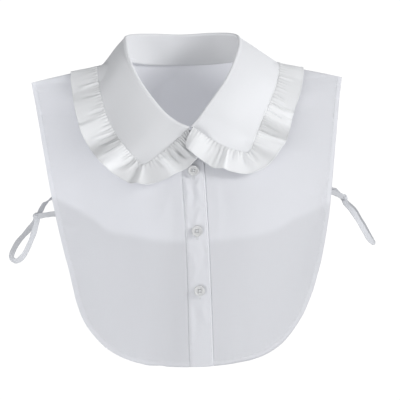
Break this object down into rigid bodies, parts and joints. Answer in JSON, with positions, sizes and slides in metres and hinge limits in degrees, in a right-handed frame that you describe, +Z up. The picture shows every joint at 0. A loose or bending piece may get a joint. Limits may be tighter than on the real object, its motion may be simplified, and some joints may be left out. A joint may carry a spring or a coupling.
{
  "type": "false collar",
  "caption": "Sleeveless half blouse with a ruffled turn-down collar, buttoned front and knotted side ties, hollow as worn.",
  "frame": {"origin": "middle of the neck at the height of the high shoulder points", "axes": "+Z up along the wearer's neck, the front faces -Y, +X to the viewer's right"},
  "size_m": [0.4034, 0.2062, 0.3531],
  "materials": {
    "body_cotton": "thin white plain-weave cotton, faintly sheer",
    "collar_cotton": "white cotton, two layers with a light interlining",
    "ruffle_cotton": "gathered white cotton, one soft layer",
    "pearl_button": "pearly white four-hole shirt button",
    "tie_tape": "narrow folded cotton tape"
  },
  "bodies": {
    "root": {"front_left_panel": "body_cotton", "front_right_panel": "body_cotton", "back_panel": "body_cotton", "under_placket": "body_cotton", "top_placket": "body_cotton", "collar": "collar_cotton", "ruffle": "ruffle_cotton", "neck_button": "pearl_button", "button_1": "pearl_button", "button_2": "pearl_button", "button_3": "pearl_button", "tie_back_left": "tie_tape", "tie_front_left": "tie_tape", "tie_loop_left": "tie_tape", "tie_knot_left": "tie_tape", "tie_back_right": "tie_tape", "tie_front_right": "tie_tape", "tie_loop_right": "tie_tape", "tie_knot_right": "tie_tape"}
  },
  "joints": []
}
